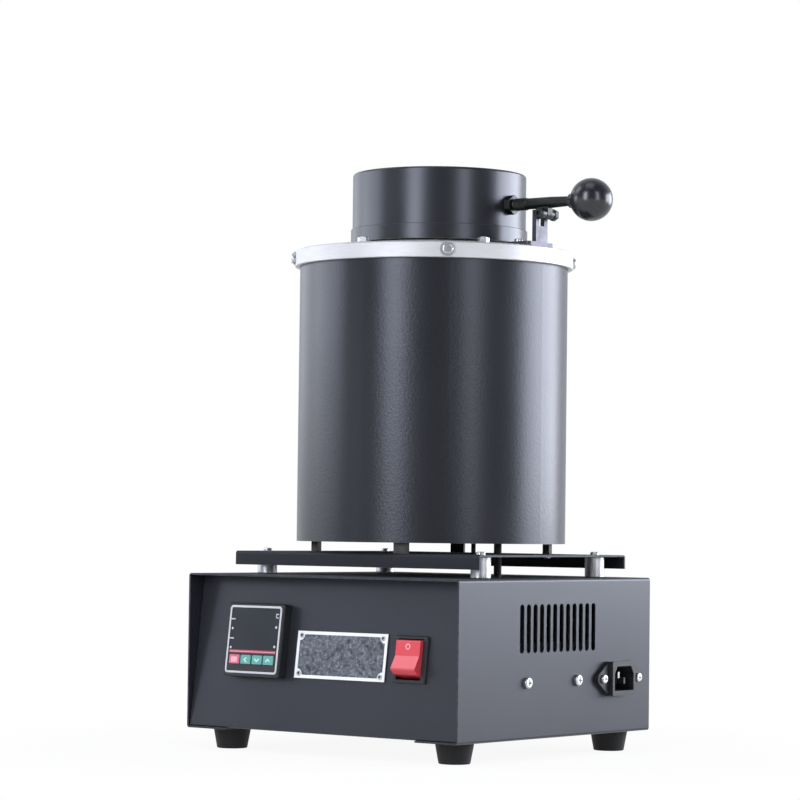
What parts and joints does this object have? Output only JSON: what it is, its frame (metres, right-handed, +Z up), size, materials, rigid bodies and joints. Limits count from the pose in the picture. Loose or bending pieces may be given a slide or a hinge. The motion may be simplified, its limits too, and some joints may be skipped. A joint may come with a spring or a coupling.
{
  "type": "electric melting furnace",
  "caption": "Bench furnace for melting gold: an insulated drum with a crucible and tipping lid on a tray, over a cabinet with temperature controller, rocker switch and mains inlet.",
  "frame": {"origin": "centre of the cabinet's footprint, on the surface that the feet stand on", "axes": "+Z up, -Y towards the control panel, +X towards the side with the mains inlet and the lever"},
  "size_m": [0.2547, 0.2142, 0.384],
  "materials": {
    "black_coat": "satin powder coat",
    "tray_coat": "satin powder coat",
    "shell_coat": "fine textured satin coat",
    "lid_coat": "satin coat",
    "ring_steel": "brushed round the ring",
    "plain_steel": "plain",
    "bracket_steel": "satin plated, dark",
    "dark_steel": "oil-blackened",
    "screw_steel": "bright zinc",
    "aluminium": "turned",
    "black_anodised": "black anodised",
    "rubber": "matt",
    "knob_plastic": "polished thermoset",
    "black_plastic": "fine moulded grain",
    "window_plastic": "smoked",
    "silver_paint": "printed line",
    "circuit_board": "solder mask",
    "red_key": "soft touch",
    "green_key": "soft touch",
    "plate_metal": "printed dark field with a bright border",
    "red_plastic": "translucent red",
    "brass": "tinned",
    "pin_metal": "nickel plated",
    "ceramic_fibre": "felted",
    "refractory": "fired, chalky",
    "graphite": "machined graphite",
    "element_wire": "oxidised",
    "lead_sleeve": "glass-fibre sleeve"
  },
  "bodies": {
    "base": {"base_chassis": "black_coat", "bracket_screws": "screw_steel", "cabinet_cover": "black_coat", "controller_bezel": "black_plastic", "controller_board": "circuit_board", "controller_clamp": "black_plastic", "controller_frame_line": "silver_paint", "controller_housing": "black_plastic", "controller_window": "window_plastic", "crucible_rest": "refractory", "element_leads": "lead_sleeve", "fibre_blanket": "ceramic_fibre", "floor_refractory": "refractory", "foot_nuts": "screw_steel", "foot_screws": "screw_steel", "furnace_base": "plain_steel", "furnace_legs": "dark_steel", "furnace_shell": "shell_coat", "graphite_crucible": "graphite", "heat_sink": "black_anodised", "heating_element": "element_wire", "heating_muffle": "refractory", "hinge_bracket": "bracket_steel", "inlet_body": "black_plastic", "inlet_nuts": "screw_steel", "inlet_pins": "pin_metal", "inlet_screws": "screw_steel", "leg_screws": "screw_steel", "mouth_refractory": "refractory", "nameplate": "plate_metal", "nameplate_rivets": "screw_steel", "pivot_bolt": "dark_steel", "pivot_nut": "dark_steel", "platform_tray": "tray_coat", "ring_screws": "screw_steel", "rubber_feet": "rubber", "side_screws": "screw_steel", "solid_state_relay": "black_plastic", "standoff_nuts": "screw_steel", "standoff_screws": "screw_steel", "switch_housing": "black_plastic", "switch_terminals": "brass", "terminal_block": "black_plastic", "thermocouple": "lead_sleeve", "tie_rod_nuts": "screw_steel", "tie_rods": "plain_steel", "top_ring": "ring_steel", "tray_standoffs": "aluminium"},
    "lid": {"lid_cap": "lid_coat", "lid_band": "lid_coat", "lid_insulation": "ceramic_fibre", "lever_rod": "dark_steel", "lever_nuts": "dark_steel", "ball_knob": "knob_plastic"},
    "switch_rocker": {"switch_rocker": "red_plastic"},
    "key_set": {"key_set": "red_key"},
    "key_shift": {"key_shift": "green_key"},
    "key_down": {"key_down": "green_key"},
    "key_up": {"key_up": "green_key"}
  },
  "joints": [
    {"name": "lid_hinge", "type": "hinge", "parent": "base", "child": "lid", "pos_m": [0.0922, 0.01, 0.3535], "axis": [0, 1, 0], "range_deg": [0, 70]},
    {"name": "rocker_tilt", "type": "hinge", "parent": "base", "child": "switch_rocker", "pos_m": [0.0699, -0.09471, 0.06404], "axis": [1, 0, 0], "range_deg": [0, 24]},
    {"name": "key_set_press", "type": "slide", "parent": "base", "child": "key_set", "axis": [0, 0.9914, -0.1305], "range_m": [0, 0.0006], "stiffness_N_per_m": 1200},
    {"name": "key_shift_press", "type": "slide", "parent": "base", "child": "key_shift", "axis": [0, 0.9914, -0.1305], "range_m": [0, 0.0006], "stiffness_N_per_m": 1200},
    {"name": "key_down_press", "type": "slide", "parent": "base", "child": "key_down", "axis": [0, 0.9914, -0.1305], "range_m": [0, 0.0006], "stiffness_N_per_m": 1200},
    {"name": "key_up_press", "type": "slide", "parent": "base", "child": "key_up", "axis": [0, 0.9914, -0.1305], "range_m": [0, 0.0006], "stiffness_N_per_m": 1200}
  ]
}
